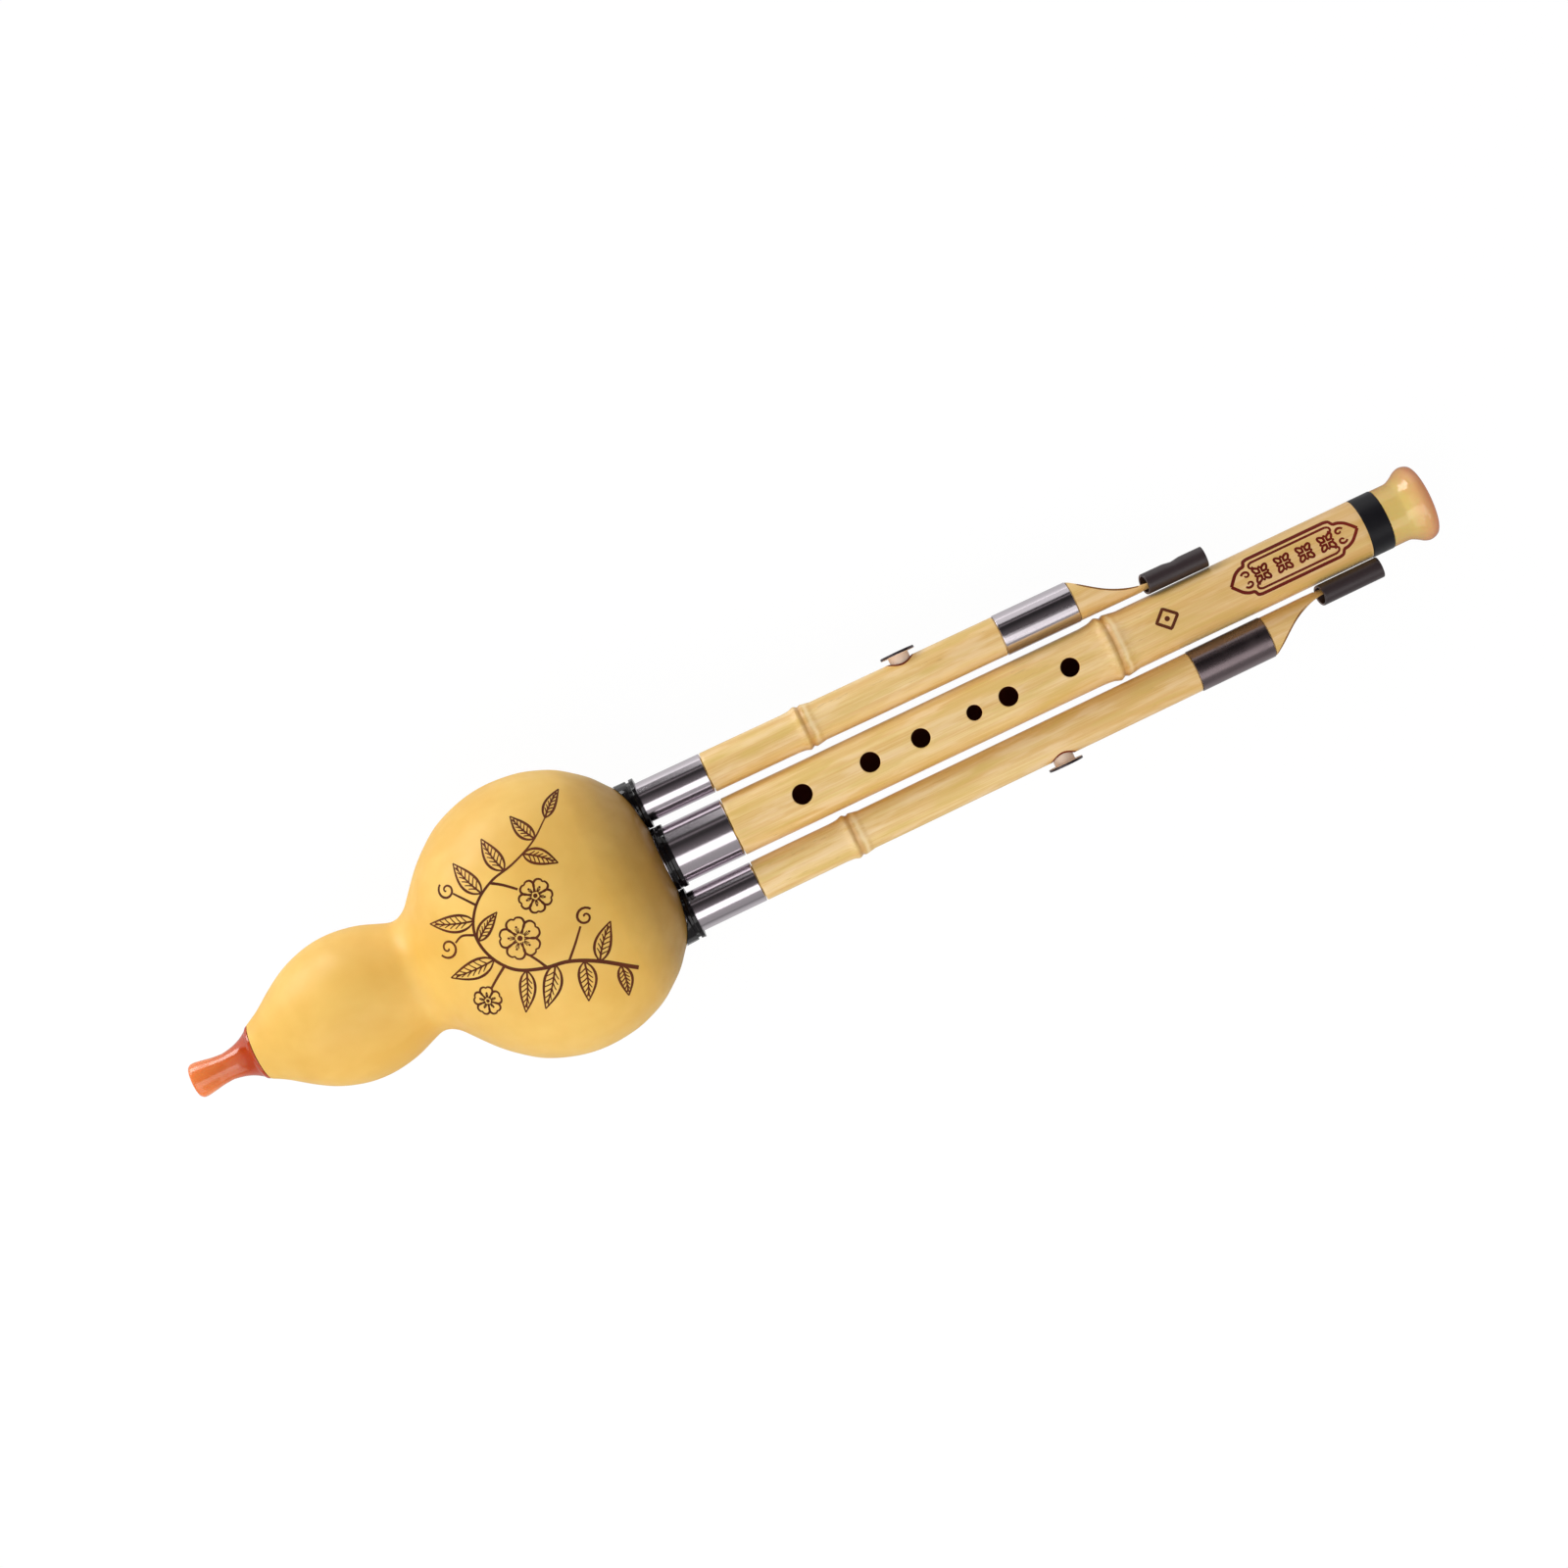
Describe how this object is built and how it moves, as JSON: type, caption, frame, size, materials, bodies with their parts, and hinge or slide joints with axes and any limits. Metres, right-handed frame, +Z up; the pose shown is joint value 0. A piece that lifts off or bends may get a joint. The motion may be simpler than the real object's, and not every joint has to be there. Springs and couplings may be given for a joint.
{
  "type": "hulusi",
  "caption": "Hulusi: a gourd wind chest with a mouthpiece, a bamboo melody pipe with finger holes and a flared bell, and scooped drone pipes with pull-out stoppers.",
  "frame": {"origin": "middle of the footprint, on the table that the big bulb and the bell rest on", "axes": "+X from the mouthpiece to the bell, +Y towards the upper drone, +Z up, out of the finger holes; the pipes dip 6.3 degrees towards the bell"},
  "size_m": [0.424, 0.0904, 0.0905],
  "materials": {
    "gourd_skin": "satin lacquered dried gourd, straw gold",
    "amber": "glossy translucent orange amber-like resin",
    "pale_amber": "glossy translucent yellow-olive amber-like resin with an orange rim",
    "bamboo": "satin lacquered straw-coloured bamboo with long fine grain",
    "black_plastic": "glossy black",
    "black_sleeve": "satin charcoal",
    "chrome": "polished nickel or chrome plate",
    "gunmetal": "dark polished metal plate",
    "brass": "plain brass",
    "reed_seat_plastic": "plain ivory plastic"
  },
  "bodies": {
    "wind_chest": {"gourd": "gourd_skin", "mouthpiece": "amber", "melody_collar": "black_plastic", "upper_drone_collar": "black_plastic", "lower_drone_collar": "black_plastic", "melody_socket": "chrome", "upper_drone_socket": "chrome", "lower_drone_socket": "chrome"},
    "melody": {"melody_pipe": "bamboo", "melody_tenon": "brass", "melody_reed_seat": "reed_seat_plastic", "melody_reed_plate": "brass", "bell_ring": "black_plastic", "bell": "pale_amber"},
    "upper_drone": {"upper_drone_pipe": "bamboo", "upper_drone_tenon": "brass", "upper_drone_reed_seat": "reed_seat_plastic", "upper_drone_reed_plate": "brass", "upper_drone_band": "chrome", "upper_drone_sleeve": "black_sleeve"},
    "upper_drone_plug": {"upper_drone_stopper": "chrome"},
    "lower_drone": {"lower_drone_pipe": "bamboo", "lower_drone_tenon": "brass", "lower_drone_reed_seat": "reed_seat_plastic", "lower_drone_reed_plate": "brass", "lower_drone_band": "gunmetal", "lower_drone_sleeve": "black_sleeve"},
    "lower_drone_plug": {"lower_drone_stopper": "chrome"}
  },
  "joints": [
    {"name": "melody_tuning_slide", "type": "slide", "parent": "wind_chest", "child": "melody", "axis": [0.994, 0, -0.1098], "range_m": [0, 0.01]},
    {"name": "upper_drone_tuning_slide", "type": "slide", "parent": "wind_chest", "child": "upper_drone", "axis": [0.9939, -0.0051, -0.1098], "range_m": [0, 0.01]},
    {"name": "lower_drone_tuning_slide", "type": "slide", "parent": "wind_chest", "child": "lower_drone", "axis": [0.9939, 0.0051, -0.1098], "range_m": [0, 0.01]},
    {"name": "upper_drone_stopper_pull", "type": "slide", "parent": "upper_drone", "child": "upper_drone_plug", "axis": [0.005, 1, -0.0006], "range_m": [0, 0.008]},
    {"name": "lower_drone_stopper_pull", "type": "slide", "parent": "lower_drone", "child": "lower_drone_plug", "axis": [0.005, -1, -0.0006], "range_m": [0, 0.008]}
  ]
}
